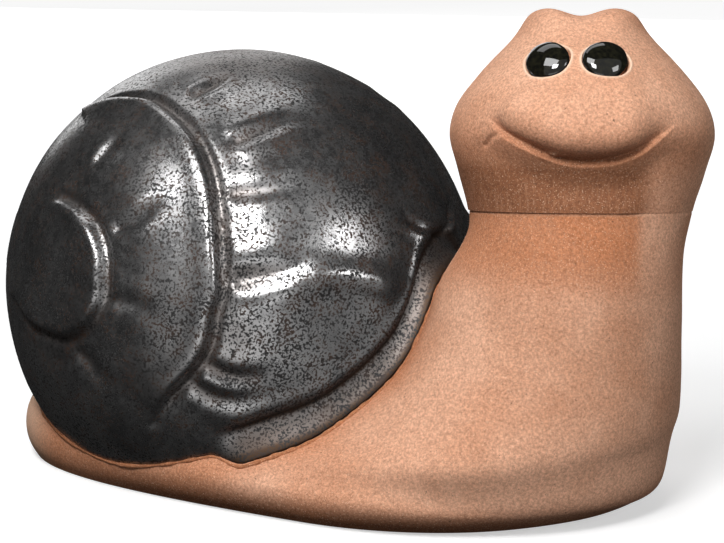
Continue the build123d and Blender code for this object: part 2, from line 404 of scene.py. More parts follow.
smile_pixels = [
    (487, 115), (495, 126), (504, 135), (526, 147), (543, 155), (559, 161), (576, 164), (592, 164),
    (609, 163), (626, 159), (642, 152), (659, 139), (672, 127), (681, 118),
]
cheek_fold_pixels = [(499, 133), (492, 137), (485, 146)]
crumb_pixel = (552, 156)
# Heights and depths of the face's forms, and their places and half widths, in millimetres
snout_roll = 2.5
snout_roll_place = 10
snout_roll_width = 7.5
mouth_undercut = 2.9
mouth_undercut_width = 3.6
mouth_line_depth = 2.9
mouth_line_width = 0.55
lip_edge_rise = 0.6
lip_edge_width = 4
chin_dip = 0.8
chin_dip_place = 10
chin_dip_width = 5
crumb_rise = 1.5
crumb_width = 1.7
cheek_fold_depth = 0.7
cheek_fold_width = 1.0
tooled_edge_rise = 0.45
brow_shift = 0.5
brow_notch = 3.4
brow_notch_width = 8.0
brow_bump_rise = 0.6
brow_bump_place = 13
brow_bump_width = 6.0

sideways = (head_base - neck_centre) @ face_left
head_level = above_neck(head_base)
facing = smoothstep(-0.1, 0.3, head_normals @ face_forward)

# The snout overhangs the mouth in a round roll, and the lower lip has a sharp edge
smile = smooth_line(pixels_on(head_tree, smile_pixels))
across, run = line_distance(head_base, smile, head_normals)
# The mouth fades out at both ends, and its roll widens towards the snail's left
ends = smoothstep(0.0, 0.10, run) * (1 - smoothstep(0.74, 0.99, run))
widening = 1 + 0.9 * smoothstep(0.72, 1.0, run)
above_lip = np.maximum(across, 0) / widening
below_lip = np.maximum(-across, 0)
roll = snout_roll * bell(above_lip - snout_roll_place, snout_roll_width)
roll -= mouth_undercut * np.exp(-((above_lip / mouth_undercut_width) ** 1.7))
lip = (
    lip_edge_rise * np.exp(-below_lip / lip_edge_width)
    - mouth_line_depth * bell(below_lip, mouth_line_width)
    - chin_dip * bell(below_lip - chin_dip_place, chin_dip_width)
)
push = facing * ends * np.where(across > 0, roll, lip)
crumb = pixels_on(head_tree, [crumb_pixel])[0]
crumb_reach = np.linalg.norm((head_base - crumb) * np.array([0.55, 0.55, 1.25]), axis=1)
push += crumb_rise * bell(crumb_reach, crumb_width)

fold = smooth_line(pixels_on(head_tree, cheek_fold_pixels))
across_fold, _ = line_distance(head_base, fold, head_normals)
push -= facing * cheek_fold_depth * bell(across_fold, cheek_fold_width)

# The tooled edge above the neck joint, which dies out on the snail's left
push += tooled_edge_rise * tooled_share(head_base, 0.42, 0.60) * smoothstep(11.0, 1.5, head_level)

brow = smoothstep(0.80, 0.97, head_level / head_height)
from_middle = sideways + brow_shift
brow_bumps = brow_bump_rise * bell(np.abs(from_middle) - brow_bump_place, brow_bump_width)
push_up = brow * (-brow_notch * bell(from_middle, brow_notch_width) + brow_bumps)
head_flat = head_base + head_normals * push[:, None] + neck_normal * push_up[:, None]
head_lumps = lumps(head_flat, size=46, seed=3) * 0.3 + lumps(head_flat, size=15, seed=4) * 0.08
head_flat = head_flat + head_normals * (head_lumps * smoothstep(1, 14, head_level))[:, None]

# Eyes: oval beads set into the clay. Each has its name, its pixel, its turn in degrees, and the way
# in which its socket is too large for it
eye_width = 16.9
eye_height = 15.4
eye_steeper = 12
eye_dome = 3.1
eye_dome_fullness = 1.15
eye_dome_sink = 0.2
eyes_seen = [
    ("eye_bead_left", (606, 59.5), 20, (0.1, -1.0)),
    ("eye_bead_right", (546.5, 60), -25, (0.55, -0.85)),
]
socket_room = 0.5
socket_slack = 0.9
socket_depth = 2.2
mean_eye_half = 8
eye_reach = 9


def eye_frame(pixel, roll):
    """Middle, long axis, short axis and outward direction of an eye seen at a pixel."""
    hit = pixels_on(head_tree, [pixel])[0]
    close_by = np.linalg.norm(head_base - hit, axis=1) < eye_width * 0.55
    outward = head_normals[close_by].mean(axis=0)
    outward /= np.linalg.norm(outward)
    middle = head_base[close_by].mean(axis=0)
    level = np.cross(neck_normal, outward)
    level /= np.linalg.norm(level)
    rise = np.cross(outward, level)
    steeper = math.radians(eye_steeper)
    outward = outward * math.cos(steeper) - rise * math.sin(steeper)
    rise = np.cross(outward, level)
    turn = math.radians(roll)
    x_dir = level * math.cos(turn) + rise * math.sin(turn)
    return middle, x_dir, np.cross(outward, x_dir), outward, level, rise


eye_frames = []
socket_tint = np.zeros(len(head_flat))
socket_rim_highlight = np.zeros(len(head_flat))
for name, pixel, eye_roll, slack in eyes_seen:
    middle, x_dir, y_dir, outward, level, rise = eye_frame(pixel, eye_roll)
    eye_frames.append((name, middle, x_dir, y_dir, outward))
    from_eye = head_flat - middle
    a = from_eye @ x_dir
    b = from_eye @ y_dir
    c = from_eye @ outward
    drift = (level * slack[0] + rise * slack[1]) * socket_slack
    angle = np.arctan2(b, a)
    share = np.hypot(
        (a - drift @ x_dir) / (eye_width / 2 + socket_room),
        (b - drift @ y_dir) / (eye_height / 2 + socket_room),
    )
    share = share * (1 + 0.018 * np.sin(3 * angle + 1.3) + 0.014 * np.sin(5 * angle))
    # About the distance from the socket's uneven edge, in millimetres
    from_edge = (share - 1) * mean_eye_half
    at_eye = (np.abs(c) < eye_reach) & (share < 2.5)
    sink = np.where(at_eye, smoothstep(0.1, -0.55, from_edge), 0)
    swell = np.where(at_eye, 0.5 * bell(from_edge - 0.5, 0.45) + 0.4 * bell(from_edge - 1.5, 3.0), 0)
    bottom = -socket_depth + 0.12 * np.sin(4 * angle)
    head_flat = head_flat + outward * (sink * (bottom - c) + (1 - sink) * swell)[:, None]
    socket_tint = np.maximum(socket_tint, np.where(at_eye, bell(from_edge + 0.6, 0.7), 0))
    # Mask of a painted highlight along each socket's rim, where the sharp edge catches light; the rim also
    # swells a little in shape
    socket_rim_highlight = np.maximum(socket_rim_highlight, np.where(at_eye, bell(from_edge - 0.45, 0.5), 0))

head_pole = head_flat.reshape(head_shape)[-1].mean(axis=0)
points = np.vstack([head_flat, head_pole])
faces = grid_faces(head_shape[0], column_count).tolist()
faces += fan_faces((head_shape[0] - 1) * column_count, column_count, len(head_flat))
faces.append(list(range(column_count - 1, -1, -1)))
head = make_object("clay_head", points * MM, faces)

# Body: foot, breast and neck, slightly lumpy except at the ground and at the neck joint
body_shape = body_rows.shape
body_normals = grid_normals(body_rows)
body_flat = body_rows.reshape(-1, 3)
ground_fade = np.clip(body_flat[:, 2] / 12, 0, 1)
body_lumps = lumps(body_flat, size=60, seed=5) * 0.5 + lumps(body_flat, size=24, seed=8) * 0.12
neck_fade = smoothstep(0, 14, np.abs(above_neck(body_flat)))
body_flat = body_flat + body_normals.reshape(-1, 3) * (body_lumps * ground_fade * neck_fade)[:, None]
body_rows = body_flat.reshape(body_shape)
points = np.vstack([body_flat, neck_centre])
faces = grid_faces(body_shape[0], column_count).tolist()
faces += fan_faces((body_shape[0] - 1) * column_count, column_count, len(body_flat))
body_tree = tree_of(points, faces)

# Sole, closed over the base slab's rebate and a shallow hollow above the slab
sole_shares = (0.0, 0.03, 0.3, 0.6, 0.97, 1.0)
hollow_steps = [
    (0.4, 0),
    (slab_ceiling, 0),
    (slab_ceiling, slab_ledge),
    (30, slab_ledge + 2),
    (46, slab_ledge + 16),
]
slab_ring = ground_ring(0, slab_shares)
slab_middle = np.array([tail_x + slab_shares[1] * foot_length, 0, 0])
inward_step = (slab_ring - slab_middle) / np.linalg.norm(slab_ring - slab_middle, axis=1, keepdims=True)
sole_rings = []
for share in sole_shares:
    sole_rings.append(body_rows[0] * (1 - share) + slab_ring * share)
for level, inset in hollow_steps:
    sole_rings.append(slab_ring + up * level - inward_step * inset)
faces += grid_faces(len(sole_rings), column_count, len(points))[:, ::-1].tolist()
ceiling_start = len(points) + (len(sole_rings) - 1) * column_count
faces.append([ceiling_start + j for j in range(column_count)])
points = np.vstack([points, np.concatenate(sole_rings)])
body = make_object("clay_body", points * MM, faces)


def inside_body(point):
    place, normal, _, _ = body_tree.find_nearest(Vector(point))
    return (Vector(point) - place).dot(normal) < 0


# Shell. Its columns run down from the top, each to where the ball meets the clay
turns = np.linspace(0, 2 * math.pi, shell_columns, endpoint=False)
seam_search = (math.radians(50), math.radians(140))
seam_search_step = math.radians(1.0)
seam_halvings = 7


def shell_direction(tilt, turn):
    return np.stack([np.sin(tilt) * np.cos(turn), np.sin(tilt) * np.sin(turn), np.cos(tilt)], axis=-1)


def seam_tilts(radii):
    """For each column, how far down from the top a ball of its radius meets the clay."""
    tilts = []
    for turn, radius in zip(turns, np.broadcast_to(radii, turns.shape)):
        tilt, lowest = seam_search
        while tilt < lowest and not inside_body(shell_centre + radius * shell_direction(tilt, turn)):
            tilt += seam_search_step
        a, b = tilt - seam_search_step, tilt
        for _ in range(seam_halvings):
            middle = (a + b) / 2
            if inside_body(shell_centre + radius * shell_direction(middle, turn)):
                b = middle
            else:
                a = middle
        tilts.append((a + b) / 2)
    return np.array(tilts)


def on_ball(pixels, radius=shell_radius + 1.0):
    """Directions from the ball's middle to where the camera sees some pixels on it."""
    found = []
    origin = np.array(eye_point) / MM - shell_centre
    for pixel in pixels:
        way = np.array(sight(pixel))
        along = origin @ way
        gap = along**2 - (origin @ origin - radius**2)
        if gap < 0:
            hit = origin - along * way
        else:
            hit = origin + way * (-along - math.sqrt(gap))
        found.append(hit / np.linalg.norm(hit))
    return np.array(found)


outer_suture_pixels = [
    (72, 122), (81, 111), (96, 101), (116, 95), (138, 94), (156, 97), (179, 113), (199, 136),
    (212, 164), (219, 198), (222, 239), (224, 290), (218, 314), (213, 344), (202, 367), (188, 383),
    (170, 402), (156, 425),
]
inner_suture_pixels = [
    (46, 193), (60, 194), (72, 200), (84, 209), (94, 221), (100, 233), (105, 250), (106, 272),
    (104, 299), (94, 321), (80, 335), (64, 342), (46, 337), (27, 326), (12, 303),
]
# Each crease starts at its suture: its pixels, depth and half width in millimetres
creases_seen = [
    ([(192, 92), (212, 81), (237, 64)], 1.5, 2.4),
    ([(232, 141), (262, 129), (306, 113)], 1.5, 2.6),
    ([(228, 192), (262, 189), (318, 182)], 1.1, 2.8),
    ([(232, 279), (270, 275), (300, 271), (325, 264)], 2.1, 4.0),
    ([(207, 367), (228, 378), (252, 379), (286, 368)], 1.5, 2.6),
    ([(190, 386), (228, 401), (292, 380)], 1.2, 2.8),
    ([(94, 162), (108, 147), (126, 130)], 1.2, 2.2),
    ([(112, 229), (138, 217), (172, 198)], 1.3, 2.4),
    ([(108, 301), (130, 303), (162, 309)], 1.2, 2.4),
    ([(75, 352), (92, 370), (118, 392)], 1.4, 2.6),
]
# Soft folds: their pixels, rise and half width in millimetres
fold_crests = [
    ([(249, 294), (290, 284), (330, 275), (362, 278), (392, 286), (424, 295)], 2.9, 5.8),
    ([(402, 222), (424, 236), (446, 243), (470, 244)], 1.0, 2.5),
]
lip_fold_pixels = [(398, 213), (420, 226), (440, 234), (474, 236)]
lip_corner_pixel = (237, 468)
shoulder_pixel = (452, 186)

# The lip flares outwards over the clay, from the corner of the seam forward, less under the neck
lip_flare = 8.0
lip_reach = 10.5
lip_step = 1.5
lip_bank = 0.6
lip_bank_place = 17.0
lip_bank_width = 3.5
narrower_under_neck = 0.33
corner = on_ball([lip_corner_pixel])[0]
corner_turn = abs(math.atan2(corner[1], corner[0]))
side_turns = np.abs((turns + math.pi) % (2 * math.pi) - math.pi)
lip_share = smoothstep(corner_turn + 0.13, corner_turn - 0.04, side_turns)
under_neck = smoothstep(math.radians(52), math.radians(30), side_turns)
flare_turns = lip_flare * (1 - narrower_under_neck * under_neck)
rim_tilt = seam_tilts(shell_radius)
rim_tilt = rim_tilt + (seam_tilts(shell_radius + flare_turns) - rim_tilt) * lip_share
wall_tilt = seam_tilts(shell_radius - shell_wall) - 0.02

down_share = np.linspace(0, 1, ball_row_count)
tilts = down_share[:, None] * rim_tilt[None, :]
directions = shell_direction(tilts, np.broadcast_to(turns, tilts.shape)).reshape(-1, 3)
edge_distance = ((1 - down_share)[:, None] * rim_tilt[None, :] * shell_radius).reshape(-1)
mirrored = directions * np.array([1, -1, 1])
near_side = -directions[:, 1]

groove_depth = 2.3
groove_width = 2.3
groove_steepness = 2.6
ridge_width = 6.0
lip_fold_depth = 1.6
lip_fold_width = 1.6
shoulder_rise = 1.8
shoulder_width = 24


def suture_profile(inward, ridge_height, ridge_place, plateau):
    """Height across a suture: a steep groove, a rounded ridge on the inner side, then a plateau."""
    groove = -groove_depth * np.exp(-(np.abs(inward / groove_width) ** groove_steepness))
    rise = smoothstep(0.8, ridge_place, inward)
    past_ridge = bell(np.maximum(inward - ridge_place, 0), ridge_width)
    ridge = rise * (plateau + (ridge_height - plateau) * past_ridge)
    dip = -0.7 * bell(np.minimum(inward + 6, 0), 7) * smoothstep(-1.0, -4.0, inward)
    return groove + ridge + dip


def spiral_relief(dirs):
    """Height of the whorls, sutures and creases over the ball, in millimetres."""
    points = dirs * shell_radius

    def from_line(pixels):
        return line_distance(points, smooth_line(on_ball(pixels)) * shell_radius, dirs)

    d_out, p_out = from_line(outer_suture_pixels)
    d_in, p_in = from_line(inner_suture_pixels)
    fade_out = smoothstep(0.0, 0.07, p_out) * (1 - 0.7 * smoothstep(0.92, 1.0, p_out))
    fade_in = smoothstep(0.0, 0.10, p_in) * (1 - 0.5 * smoothstep(0.9, 1.0, p_in))
    outer = suture_profile(-d_out, ridge_height=2.3, ridge_place=4.6, plateau=0.7)
    inner = suture_profile(-d_in, ridge_height=1.9, ridge_place=4.2, plateau=0.35)
    relief = outer * fade_out * smoothstep(80, 55, np.abs(d_out))
    relief += inner * fade_in * smoothstep(60, 40, np.abs(d_in))
    for pixels, depth, width in creases_seen:
        d, p = from_line(pixels)
        taper = smoothstep(-0.02, 0.06, p) * (1 - smoothstep(0.45, 1.0, p))
        taper = np.where(p <= 0, bell(d, 3.0) * 0.5, taper)
        valley = -bell(d, width * (1 + 0.6 * p)) + 0.35 * bell(np.abs(d) - width * 2.4, width * 1.5)
        relief += depth * taper * valley
    for pixels, rise, width in fold_crests:
        d, p = from_line(pixels)
        relief += rise * smoothstep(0.0, 0.25, p) * (1 - smoothstep(0.7, 1.0, p)) * bell(d, width)
    d, p = from_line(lip_fold_pixels)
    relief -= lip_fold_depth * smoothstep(0.0, 0.3, p) * bell(d, lip_fold_width)
    shoulder = on_ball([shoulder_pixel])[0] * shell_radius
    relief += shoulder_rise * bell(np.linalg.norm(points - shoulder, axis=1), shoulder_width)
    return relief


# The far flank has the near flank's spiral, mirrored, and the two blend in the middle
flank_overlap = 0.25
rim_rounding = 1.2
rim_drop = 0.9
relief = np.zeros(len(directions))
here = near_side > -flank_overlap
relief[here] = spiral_relief(directions[here]) * smoothstep(-0.2, 0.0, near_side[here])
there = near_side < flank_overlap
relief[there] += spiral_relief(mirrored[there]) * smoothstep(-0.2, 0.0, -near_side[there])
relief += lumps(directions * shell_radius, size=70, seed=11) * 0.35
on_lip = np.broadcast_to(lip_share, tilts.shape).reshape(-1)
flare = np.broadcast_to(flare_turns, tilts.shape).reshape(-1)
flange = on_lip * (
    -lip_step * smoothstep(14.5, lip_reach, edge_distance)
    + (flare + lip_step) * np.clip(1 - edge_distance / lip_reach, 0, 1) ** 1.6
    + lip_bank * bell(edge_distance - lip_bank_place, lip_bank_width)
)
relief = relief * smoothstep(6.0, 15.0, edge_distance) + flange
edge_rounding = 1 - np.clip(1 - edge_distance / rim_rounding, 0, 1) ** 2
relief -= rim_drop * (1 - np.sqrt(np.clip(edge_rounding, 0, 1)))
ball_points = shell_centre + directions * (shell_radius + relief)[:, None]

# Rows over the outside, under the rim and back over the inside
rows = [ball_points.reshape(ball_row_count, shell_columns, 3)]
rim_radius = (shell_radius + relief).reshape(ball_row_count, shell_columns)[-1]
inner_radius = shell_radius - shell_wall
for part in np.linspace(0.15, 1.0, 6):
    tilt = rim_tilt + (wall_tilt - rim_tilt) * part
    radius = rim_radius + (inner_radius - rim_radius) * part
    rows.append((shell_centre + shell_direction(tilt, turns) * radius[:, None])[None])
for part in np.linspace(0.95, 0.04, 16):
    rows.append((shell_centre + shell_direction(wall_tilt * part, turns) * inner_radius)[None])
rows = np.concatenate(rows)
faces = grid_faces(len(rows), shell_columns)[:, ::-1].tolist()
faces.append(list(range((len(rows) - 1) * shell_columns, len(rows) * shell_columns)))
shell = make_object("glazed_shell", rows.reshape(-1, 3) * MM, faces)

# Slip bead along the seam
bead_sides = 10
bead_radius = 0.8
bead_lift = 0.2
rim_out = shell_direction(rim_tilt, turns)
seam_points = shell_centre + rim_out * (shell_radius + bead_lift + flare_turns * lip_share)[:, None]
raggedness = 1 + 0.35 * lumps(seam_points, size=9, seed=21) + 0.2 * lumps(seam_points, size=4, seed=22)
rim_along = np.roll(seam_points, -1, axis=0) - np.roll(seam_points, 1, axis=0)
rim_along /= np.linalg.norm(rim_along, axis=1, keepdims=True)
rim_side = np.cross(rim_along, rim_out)
bead_rows = []
for k in range(bead_sides):
    turn = 2 * math.pi * k / bead_sides
    around_seam = rim_out * math.cos(turn) + rim_side * math.sin(turn)
    bead_rows.append(seam_points + around_seam * (bead_radius * raggedness)[:, None])
points = np.array(bead_rows).transpose(1, 0, 2).reshape(-1, 3)
i, j = np.meshgrid(np.arange(shell_columns), np.arange(bead_sides), indexing="ij")
next_i, next_j = (i + 1) % shell_columns, (j + 1) % bead_sides
faces = np.stack(
    [i * bead_sides + j, next_i * bead_sides + j, next_i * bead_sides + next_j, i * bead_sides + next_j],
    axis=-1,
).reshape(-1, 4)
bead = make_object("seam_slip", points * MM, faces)

# Neck slip: a thin band between the neck and the head, sunk where the edge is tooled
slip_levels = (0.0, 0.15, 0.5, 0.85, 1.0)
slip_depth = 0.12
slip_sink = slip_depth * tooled_share(body_rows[-1], 0.42, 0.60)
slip_out = body_rows[-1] - neck_centre
slip_out /= np.linalg.norm(slip_out, axis=1, keepdims=True)
slip_rows = []
for part in slip_levels:
    sunk = slip_sink * math.sin(math.pi * part) ** 0.5
    slip_rows.append(body_rows[-1] + neck_normal * lute_thickness * part - slip_out * sunk[:, None])
faces = grid_faces(len(slip_rows), column_count).tolist()
neck_slip = make_object("neck_slip", np.vstack(slip_rows) * MM, faces)

# Eye beads: a short side wall, then a flattened dome
bead_around = 96
bead_turns = np.linspace(0, 2 * math.pi, bead_around, endpoint=False)
wobble = (
    1
    + 0.012 * np.sin(2 * bead_turns + 0.5)
    + 0.012 * np.sin(3 * bead_turns + 1)
    + 0.005 * np.sin(7 * bead_turns)
)
bead_oval = np.stack([np.cos(bead_turns) * eye_width / 2, np.sin(bead_turns) * eye_height / 2], axis=1)
wall_steps = [(-2.1, 0.93), (-1.2, 0.985), (-0.6, 1.0), (-0.2, 0.995)]
eyes = []
for name, middle, x_dir, y_dir, outward in eye_frames:
    bead_rows = []
    for height, out_share in wall_steps:
        oval = bead_oval * (wobble * out_share)[:, None]
        bead_rows.append(middle + oval[:, :1] * x_dir + oval[:, 1:] * y_dir + outward * height)
    for out_share in np.linspace(0.975, 0.02, 26):
        oval = bead_oval * (1 + (wobble - 1) * out_share)[:, None] * out_share
        height = eye_dome * math.sqrt(1 - out_share**2) ** eye_dome_fullness - eye_dome_sink
        bead_rows.append(middle + oval[:, :1] * x_dir + oval[:, 1:] * y_dir + outward * height)
    faces = grid_faces(len(bead_rows), bead_around).tolist()
    faces.append(list(range(bead_around - 1, -1, -1)))
    top = (len(bead_rows) - 1) * bead_around
    faces.append([top + k for k in range(bead_around)])
    eyes.append(make_object(name, np.concatenate(bead_rows) * MM, faces))


# Tones painted on the points
def paint(obj, *channels):
    """Writes up to four tones to the points. On clay they say how orange it is, how brown or darkened by
    painted shade, how scraped, and how much painted light it gets; on glaze how peppered and worn it is."""
    layer = obj.data.attributes.new("tone", "FLOAT_COLOR", "POINT")
    values = np.zeros((len(obj.data.vertices), 4))
    for k, channel in enumerate(channels):
        values[: len(channel), k] = np.clip(channel, 0, 1)
    layer.data.foreach_set("color", values.reshape(-1).astype(np.float32))


# Head: orange in the sockets and over the tooled band; brown on the tooled band, which also serves as
# painted shadow under the chin; painted shade above the mouth under the snout's roll and low on the front;
# painted highlight on the socket rims
head_level = above_neck(head_flat)
on_front = tooled_share(head_flat, 0.30, 0.62)
front_anywhere = smoothstep(-0.2, 0.3, np.cos(round_neck(head_flat) - math.radians(-80)))
# Painted shade just above the mouth, under the snout's roll
mouth_shade = facing * ends * bell(above_lip - 0.8, 2.0) * (across > -0.5)
band = smoothstep(26, 12, head_level)
head_orange = 0.75 * socket_tint + 0.2 * facing * ends * bell(below_lip - 1.0, 2.0) * (across < 0)
head_orange += 0.5 * front_anywhere * bell(head_level - 24, 9) + 0.25 * on_front * band
# Brown on the tooled band, also the chin's painted shadow, and painted shade low on the front under the
# chin
head_brown_and_shade = 0.4 * mouth_shade + 1.0 * on_front * band
head_brown_and_shade += 0.3 * front_anywhere * smoothstep(30, 10, head_level)
head_scraped = on_front * smoothstep(20, 10, head_level)
paint(head, head_orange, head_brown_and_shade, head_scraped, 0.8 * socket_rim_highlight)

# Body: orange under the tooled line, in patches and along the shell; painted shade along the ground where
# the foot turns under; painted light towards the tail
body_level = above_neck(body_flat)
body_front = tooled_share(body_flat, 0.42, 0.55)
body_orange = 0.85 * body_front * smoothstep(-34, -12, body_level)
body_orange += 0.35 * np.clip(lumps(body_flat, size=70, seed=31) * 0.9, 0, 1)
body_orange += 0.5 * smoothstep(46, 34, np.linalg.norm(body_flat - shell_centre, axis=1) - 66)
toward_breast = smoothstep(-110, -40, body_flat[:, 0])
# Painted shade along the ground where the foot turns under, stronger towards the breast
body_ground_shade = (0.15 + 0.85 * toward_breast) * smoothstep(16, 2, body_flat[:, 2])
body_scraped = body_front * smoothstep(-40, -15, body_level)
# Painted light towards the tail
tail_painted_light = 0.6 * smoothstep(-95, -130, body_flat[:, 0])
paint(body, body_orange, body_ground_shade, body_scraped, tail_painted_light)

# The sunk, tooled part of the neck slip: darker slip in the joint, and painted shade in the crease,
# stronger with its depth
slip_joint_and_shade = np.tile(4 * slip_sink, len(slip_levels))
paint(neck_slip, slip_joint_and_shade, slip_joint_and_shade)
bead_points = len(bead.data.vertices)
paint(bead, np.full(bead_points, 0.6), np.full(bead_points, 0.25))

# Glaze: more specks towards the neck and in grooves, worn brown in grooves, on the lip and on top
toward_neck = np.maximum(
    directions @ np.array([0.80, -0.42, 0.30]), directions @ np.array([0.80, 0.42, 0.30])
)
crevice = smoothstep(-0.4, -1.8, relief) * smoothstep(10, 14, edge_distance)
lip_band = on_lip * (bell(edge_distance - 12.0, 3.0) + 0.8 * smoothstep(11, 5, edge_distance))
pepper = 0.78 + 0.22 * smoothstep(0.30, 0.95, toward_neck) + 0.5 * crevice
worn = 0.45 * crevice + 0.85 * lip_band + 0.4 * smoothstep(4, 1, edge_distance)
worn += 0.4 * smoothstep(0.90, 0.985, directions[:, 2])
worn += 0.12 * np.clip(lumps(directions * shell_radius, size=40, seed=17), 0, 1)
paint(shell, pepper, worn)


# Materials
def grey(value):
    return (value, value, value)


def new_material(name):
    material = bpy.data.materials.new(name)
    material.use_nodes = True
    nodes = material.node_tree.nodes
    return material, nodes, material.node_tree.links, nodes["Principled BSDF"]


def add_node(nodes, kind, **values):
    node = nodes.new(kind)
    for key, value in values.items():
        setattr(node, key, value)
    return node


def noise(nodes, links, coords, scale, detail, roughness):
    """Noise from 0 to 1, its scale in lumps for each metre."""
    node = add_node(nodes, "ShaderNodeTexNoise")
    node.inputs["Scale"].default_value = scale
    node.inputs["Detail"].default_value = detail
    node.inputs["Roughness"].default_value = roughness
    links.new(coords, node.inputs["Vector"])
    return node.outputs["Fac"]


def ramp(nodes, links, value, *stops):
    """A colour ramp, its stops given as places and colours."""
    node = add_node(nodes, "ShaderNodeValToRGB")
    elements = node.color_ramp.elements
    while len(elements) < len(stops):
        elements.new(0.5)
    for element, (place, color) in zip(elements, stops):
        element.position = place
        element.color = (*color, 1)
    links.new(value, node.inputs["Fac"])
    return node.outputs["Color"]


def mix(nodes, links, factor, a, b, kind="MIX"):
    """Mixes two colours, each given as a value or as another node's output."""
    node = add_node(nodes, "ShaderNodeMix", data_type="RGBA", blend_type=kind)
    for socket, value in ((node.inputs[0], factor), (node.inputs[6], a), (node.inputs[7], b)):
        if isinstance(value, (int, float)):
            socket.default_value = value
        elif isinstance(value, tuple):
            socket.default_value = (*value, 1)
        else:
            links.new(value, socket)
    return node.outputs[2]


def weigh_and_add(nodes, links, value, weight, rest):
    node = add_node(nodes, "ShaderNodeMath", operation="MULTIPLY_ADD")
    links.new(value, node.inputs[0])
    node.inputs[1].default_value = weight
    links.new(rest, node.inputs[2])
    return node.outputs[0]


def add_bump(nodes, links, shader, height, distance):
    bump = add_node(nodes, "ShaderNodeBump")
    bump.inputs["Strength"].default_value = 0.5
    bump.inputs["Distance"].default_value = distance
    links.new(height, bump.inputs["Height"])
    links.new(bump.outputs["Normal"], shader.inputs["Normal"])


def read_tones(nodes, links):
    """The painted tones: the first three apart, then the fourth."""
    tone = add_node(nodes, "ShaderNodeAttribute", attribute_name="tone")
    parts = add_node(nodes, "ShaderNodeSeparateColor")
    links.new(tone.outputs["Color"], parts.inputs["Color"])
    red, green, blue = (parts.outputs[name] for name in ("Red", "Green", "Blue"))
    return red, green, blue, tone.outputs["Alpha"]


black = grey(0)
orange_clay = (0.54, 0.215, 0.10)
# Brown clay, also the colour of painted shade
brown_and_shade_clay = (0.27, 0.11, 0.052)
grain_clay = (0.93, 0.66, 0.47)
speck_clay = (0.09, 0.05, 0.03)
scraped_clay = (0.48, 0.25, 0.15)
# The colour of painted light on the clay
painted_light_clay = (0.95, 0.68, 0.50)
worn_glaze = (0.085, 0.052, 0.034)


def clay_material(name, light, dark):
    """Fired clay with fine grog: patches, mottling, pale grains, dark specks and scraped streaks, with
    painted shade and painted light from the tones.
    """
    material, nodes, links, shader = new_material(name)
    coords = add_node(nodes, "ShaderNodeTexCoord").outputs["Object"]
    orange, brown, scraped, pale = read_tones(nodes, links)
    patches = noise(nodes, links, coords, 24, 4, 0.55)
    color = ramp(nodes, links, patches, (0.36, dark), (0.60, light))
    color = mix(nodes, links, orange, color, orange_clay)
    # The second tone mixes in brown clay and painted shade
    color = mix(nodes, links, brown, color, brown_and_shade_clay)
    mottle = noise(nodes, links, coords, 1000, 4, 0.7)
    mottle = ramp(nodes, links, mottle, (0.32, (0.50, 0.44, 0.40)), (0.66, grey(1.20)))
    color = mix(nodes, links, 0.8, color, mottle, "MULTIPLY")
    grains = noise(nodes, links, coords, 1900, 2, 0.6)
    grains = ramp(nodes, links, grains, (0.60, black), (0.70, grey(0.5)))
    color = mix(nodes, links, grains, color, grain_clay)
    specks = noise(nodes, links, coords, 760, 2, 0.5)
    specks = ramp(nodes, links, specks, (0.725, black), (0.755, grey(0.8)))
    color = mix(nodes, links, specks, color, speck_clay)
    stretch = add_node(nodes, "ShaderNodeMapping")
    stretch.inputs["Scale"].default_value = (1.0, 1.0, 0.10)
    links.new(coords, stretch.inputs["Vector"])
    streaks = noise(nodes, links, stretch.outputs["Vector"], 900, 3, 0.6)
    streaks = ramp(nodes, links, streaks, (0.50, black), (0.72, grey(0.36)))
    scraped = ramp(nodes, links, scraped, (0.0, black), (1.0, grey(1)))
    color = mix(nodes, links, mix(nodes, links, streaks, black, scraped), color, scraped_clay)
    # The fourth tone mixes in painted light
    color = mix(nodes, links, pale, color, painted_light_clay)
    links.new(color, shader.inputs["Base Color"])
    shader.inputs["Roughness"].default_value = 0.85
    shader.inputs["Specular IOR Level"].default_value = 0.2
    add_bump(nodes, links, shader, noise(nodes, links, coords, 1300, 5, 0.7), 0.0006)
    return material


def glaze_material(name):
    """Dark metallic glaze, peppered with matte brown-black specks that crowd where the tone says."""
    material, nodes, links, shader = new_material(name)
    coords = add_node(nodes, "ShaderNodeTexCoord").outputs["Object"]
    pepper, worn, _, _ = read_tones(nodes, links)
    specks = weigh_and_add(nodes, links, pepper, 0.11, noise(nodes, links, coords, 1050, 3, 0.6))
    specks = weigh_and_add(nodes, links, noise(nodes, links, coords, 45, 4, 0.6), 0.22, specks)
    specks = ramp(nodes, links, specks, (0.73, black), (0.76, grey(1)))
    clouds = noise(nodes, links, coords, 55, 4, 0.6)
    metal = ramp(nodes, links, clouds, (0.35, (0.27, 0.268, 0.27)), (0.68, (0.44, 0.435, 0.435)))
    metal = mix(nodes, links, worn, metal, worn_glaze)
    pits = noise(nodes, links, coords, 130, 2, 0.5)
    pits = ramp(nodes, links, pits, (0.45, (0.008, 0.007, 0.007)), (0.62, (0.035, 0.018, 0.011)))
    links.new(mix(nodes, links, specks, metal, pits), shader.inputs["Base Color"])
    metallic = ramp(nodes, links, specks, (0.0, grey(0.97)), (1.0, grey(0.15)))
    links.new(metallic, shader.inputs["Metallic"])
    gloss = noise(nodes, links, coords, 300, 4, 0.6)
    gloss = ramp(nodes, links, gloss, (0.35, grey(0.21)), (0.65, grey(0.33)))
    gloss = mix(nodes, links, worn, gloss, grey(0.60))
    links.new(mix(nodes, links, specks, gloss, grey(0.58)), shader.inputs["Roughness"])
    add_bump(nodes, links, shader, noise(nodes, links, coords, 900, 5, 0.7), 0.00006)
    return material


